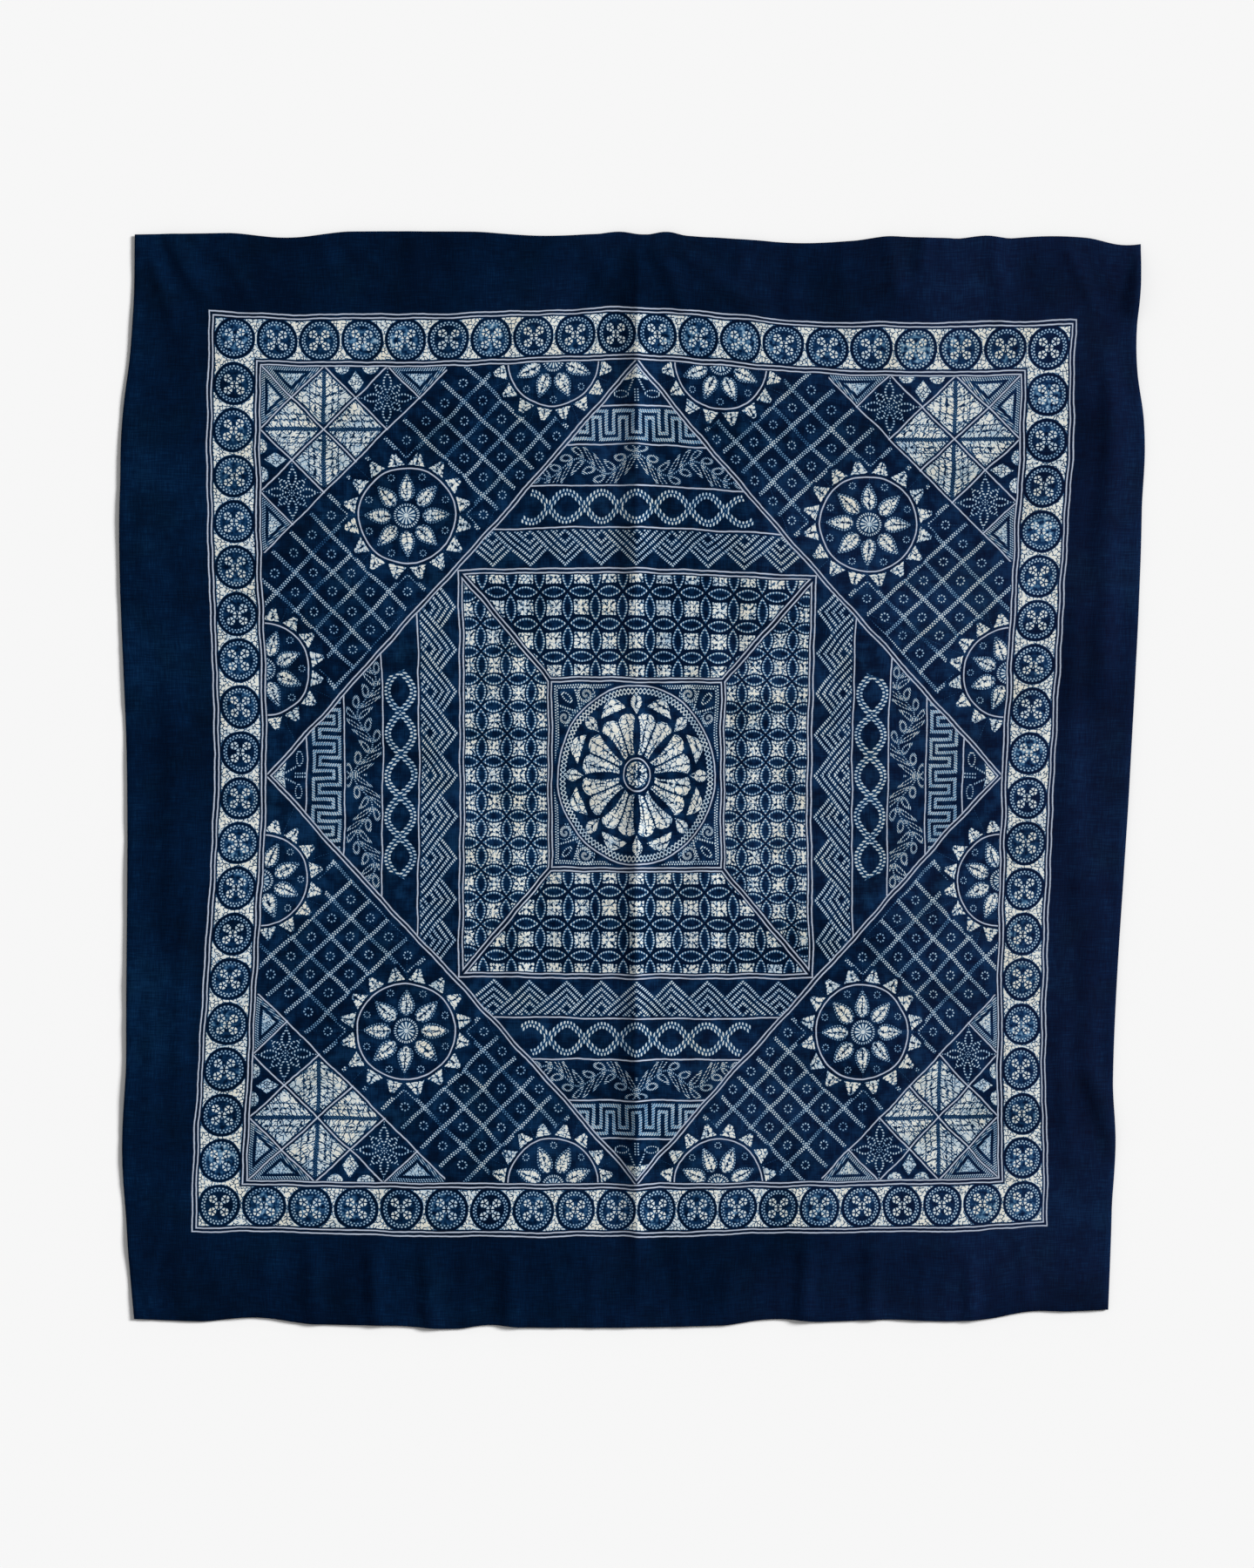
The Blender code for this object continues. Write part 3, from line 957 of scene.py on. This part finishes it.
def cornerZone():
    material, tree, x, y, ax, ay = startZone("indigoCorners")
    reach = ax + ay - 774.1
    panel, panelLines = cornerPanel(tree, x, y, ax, ay)
    panel, panelLines = panel * filled(-1.7 - reach, 1.5), panelLines * filled(-1.8 - reach, 1.5)
    diamond = diamondAt(ax, ay)
    pale, line = suns(tree, x, y, most(8.0 - diamond, reach * 0.707 + 5.5))
    outside = filled(reach + 2.5, 1.5)
    keep = inField(ax, ay, 1.6)
    pale = most(panel, pale * outside, mottled(tree, x, y, 17, 0.42)) * keep
    line = most(panelLines, line * outside) * keep
    line = most(line, framedBy(tree, x, y, "field", "inner"))
    return endZone(material, tree, pale, line, x, y)


def turnedBy(x, y, angle):
    # the same place seen from axes turned by that angle
    turnedX = x * math.cos(angle) + y * math.sin(angle)
    turnedY = y * math.cos(angle) - x * math.sin(angle)
    return turnedX, turnedY


# the coins' steps above and below the medallion and beside it, where they start, and their lenses' width, mm
coinValues = {
    "across": 37.6, "along": 41.33, "sideAcross": 33.0, "sideAlong": 35.3,
    "startBeside": 127.5, "startAbove": 130.5, "lens": 7.0,
}


def coinLattice(tree, x, y, ax, ay, side):
    # overlapping coins: lenses fringed with short stitches, undyed squares between them
    c = coinValues
    acrossCell, alongCell = mixed(c["across"], c["sideAcross"], side), mixed(c["along"], c["sideAlong"], side)
    halfX, halfY = acrossCell * 0.5, alongCell * 0.5
    lx = sums("PINGPONG", ax - side * c["startBeside"], halfX)
    ly = sums("PINGPONG", ay - mixed(c["startAbove"], 0.0, side), halfY)
    partX, partY = lx / (halfX * 0.86), ly / (halfY * 0.86)
    upright = halfX - lx - (1 - partY * partY) * c["lens"]
    level = halfY - ly - (1 - partX * partX) * c["lens"]
    fringe = filled(upright, 1.2) * scaled(upright, 1 / 4.0, 1.0, clamp=True) * beads(ly, 3.6)
    other = filled(level, 1.2) * scaled(level, 1 / 4.0, 1.0, clamp=True) * beads(lx, 3.6)
    lens = filled(least(upright, level) + 3.0, 2.0)
    patch = noiseAt(tree, x, y, 1 / 9, 1.0)
    depth = least(upright - 2.3, level - 2.3, 9.8 - most(lx, ly))
    square = held(tree, x, y, depth + 0.3, least(lx, ly), most(size(lx - ly) * 0.7, 4.5 - lx - ly))
    outline = drawn(least(upright, level) + 0.8, 2.0) * 0.50
    return most(most(fringe, other) * 1.35, outline, lens * scaled(patch, 0.36, -0.10), square)


medallionValues = {
    "frame": (121.0, 124.0),   # half its width and height
    "ring": 111.5, "rope": 104.8, "core": 17.0, "coreRing": 21.4, "lobe": 14.2, "coil": 6.6,
}


def medallion(tree, x, y, ax, ay):
    # a many-petalled flower head inside a stitched ring
    m = medallionValues
    ex, ey = ax * 1.03, ay * 0.97
    r = longest(ex, ey)
    turn = sums("ARCTAN2", ey, ex)
    fold = mirrored(turn, math.pi / 4)
    line = drawn(r - m["ring"], dyeValues["lineWidth"])
    rope = drawn(size(r - m["rope"]) - size(cosine(turn * 60)) * 3.1, 2.2)
    px, py = r * cosine(fold), r * sine(fold)
    # sixteen lobes in pairs, with a spindle of dye between the pairs
    lobeX, lobeY = turnedBy(px, py, math.pi / 16)
    width = least(scaled(lobeX, 0.29, 3.2 - 25 * 0.29), m["lobe"])
    lobe = longest(most(lobeX - 64, 0.0), lobeY) - width
    bulge = sums("SQRT", sine(scaled(px, 1 / 50, -24 / 50, clamp=True) * 3.14))
    spindle = bulge * 4.4 + 0.5 - py
    bellX, bellY = turnedBy(px, py, math.pi / 8)
    bellY = size(bellY)
    bell = most(scaled(bellY * bellY, 0.047, bellX - 101.0), 84.0 - bellX, 3.4 - lobe)
    lobes = most(lobe, spindle, 0.9 - bellY, 25.0 - px)
    part = scaled(px, 1 / 29, -74 / 29, clamp=True)
    drop = py - sine(sums("POWER", part, 1.35) * math.pi) * 8.2
    core = longest(ax * 1.17, ay)
    depth = 0 - least(lobes, bell, drop + 0.3, core - m["core"])
    outer = over(r, 79)
    spine = scaled(outer, least(py, size(bellX - 93)) - lobeY, lobeY)
    along = px + size(lobeY) * 0.5 + outer * bellY * 0.8
    pale = most(rope * 0.88, held(tree, x, y, depth, along, spine))
    line = most(line, drawn(core - m["coreRing"], dyeValues["lineWidth"]))
    # spirals, a small leaf and dotted edging in each of the four corners
    frameX, frameY = m["frame"]
    a, b = frameX - ax, frameY - ay
    far, near = most(a, b), least(a, b)
    across, up = far - 50.0, near - 21.5
    spiralTurn = sums("ARCTAN2", up, across)
    spiralR = longest(across, up)
    coil = mirrored(spiralR - spiralTurn * (m["coil"] / (2 * math.pi)), m["coil"])
    spiral = stitched(coil, spiralTurn * 9 + spiralR, 3.8, 3.3)
    spiral = spiral * filled(spiralR - mixed(9.5, 13.0, over(a, b)), 1.5)
    leaf = stitched(longest((a + b - 50) / 2.3, a - b) - 5.0, a + b, 2.6, 4.4)
    tail = stitched(size(far - 31 - near * 0.3), near, 2.6, 3.3) * filled(13.0 - near, 1.0)
    edging = stitchedPair(near - 11.0, far, 1.4, 2.2, 3.4) * filled(r * -1 + 116.5, 1.5)
    rim = stitchedPair(r - 117.5, turn, 1.3, 2.1, ringOf(190)) * filled(far - 62, 2.0)
    corners = most(spiral, edging, leaf, tail, rim * 0.8)
    return most(pale, corners * filled(114.0 - r, 1.5)), line


def centreZone():
    material, tree, x, y, ax, ay = startZone("indigoCentre")
    # the mitre lines run from the medallion's square to the corners of the big one
    halfX, halfY = frames["square"]
    steep = 1.188
    length = 1.553   # of a line one across and that much up
    start = (steep * halfX - halfY) / length
    slant = scaled(ax, -steep / length, scaled(ay, 1 / length, start))
    side = under(slant, 0.0)
    frameX, frameY = medallionValues["frame"]
    square = most(ax - frameX, ay - frameY)
    margin = 5   # between the big square's line and the coins
    panels = most(ax - (halfX - margin), ay - (halfY - margin), 0 - square, 2.6 - size(slant))
    pale = coinLattice(tree, x, y, ax, ay, side) * filled(panels + 2.4, 1.2)
    flower, rings = medallion(tree, x, y, ax, ay)
    within = filled(square + 7.0, 1.2)
    pale = most(pale, flower * within, mottled(tree, x, y, 14, 0.46) * filled(square + 5.0, 1.0))
    thin = dyeValues["lineWidth"]
    line = most(drawn(panels, thin), rings * within, drawn(square + 4.6, thin))
    line = most(line, framedBy(tree, x, y, "square"))
    return endZone(material, tree, pale, line, x, y)


def makeCloth():
    cloth = bpy.data.objects.new("indigoCloth", clothMesh())
    bpy.context.scene.collection.objects.link(cloth)
    groups["places"] = handPlaces()
    groups["crackle"] = crackle()
    groups["pinched"] = pinched()
    groups["cotton"] = indigoCotton()
    groups["line"] = boxLine()
    groups["sun"] = petalledSun()
    groups["lattice"] = stitchedLattice()
    for zone in (borderZone, fieldZone, cornerZone, centreZone):
        cloth.data.materials.append(zone())
    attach(cloth, "root")
    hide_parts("cloth")
    return cloth


cloth = makeCloth()
print("cloth laid:", len(cloth.data.polygons), "faces")


# floor, light and camera

studioValues = {
    "floorDrop": 0.0006, "floorReach": 14,
    "floorColour": (0.92, 0.92, 0.92),
    "skyStrength": 0.32,
    "sunStrength": 4.09, "sunTilt": 58, "sunTurn": 24, "sunSoft": 18,
    "cameraHeight": 6.0,
    "viewHeight": 2.025,                # metres of floor from the top of the picture to its foot
    "aimX": -0.0124, "aimY": -0.0124,   # where it looks, from the middle of the pattern
}


def makeFloor():
    mesh = bpy.data.meshes.new("studioFloor")
    reach = studioValues["floorReach"]
    corners = [(-reach, -reach, 0), (reach, -reach, 0), (reach, reach, 0), (-reach, reach, 0)]
    mesh.from_pydata(corners, [], [(0, 1, 2, 3)])
    floor = bpy.data.objects.new("studioFloor", mesh)
    floor.location.z = -studioValues["floorDrop"]
    bpy.context.scene.collection.objects.link(floor)
    paper = bpy.data.materials.new("palePaper")
    paper.use_nodes = True
    shader = paper.node_tree.nodes["Principled BSDF"]
    shader.inputs["Base Color"].default_value = (*studioValues["floorColour"], 1)
    shader.inputs["Roughness"].default_value = 1.0
    shader.inputs["Specular IOR Level"].default_value = 0.0
    mesh.materials.append(paper)


def makeLight():
    v = studioValues
    world = bpy.data.worlds.new("softRoom")
    bpy.context.scene.world = world
    world.use_nodes = True
    sky = world.node_tree.nodes["Background"]
    sky.inputs["Color"].default_value = (1, 1, 1, 1)
    sky.inputs["Strength"].default_value = v["skyStrength"]
    lamp = bpy.data.lights.new("softLamp", "SUN")
    lamp.energy = v["sunStrength"]
    lamp.angle = math.radians(v["sunSoft"])
    sun = bpy.data.objects.new("softLamp", lamp)
    sun.rotation_euler = (0, math.radians(v["sunTilt"]), math.radians(v["sunTurn"]))
    bpy.context.scene.collection.objects.link(sun)


def makeCamera():
    v = studioValues
    middleX, middleY = laidMiddle()
    lens = bpy.data.cameras.new("camera")
    lens.sensor_fit = "VERTICAL"
    lens.sensor_height = 36
    lens.lens = lens.sensor_height * v["cameraHeight"] / v["viewHeight"]
    lens.clip_end = 40
    camera = bpy.data.objects.new("camera", lens)
    camera.location = (v["aimX"] - middleX * mm, v["aimY"] - middleY * mm, v["cameraHeight"])
    bpy.context.scene.collection.objects.link(camera)
    bpy.context.scene.camera = camera


makeFloor()
makeLight()
makeCamera()
bpy.context.scene.view_settings.view_transform = "Standard"
print("floor, light and camera set")
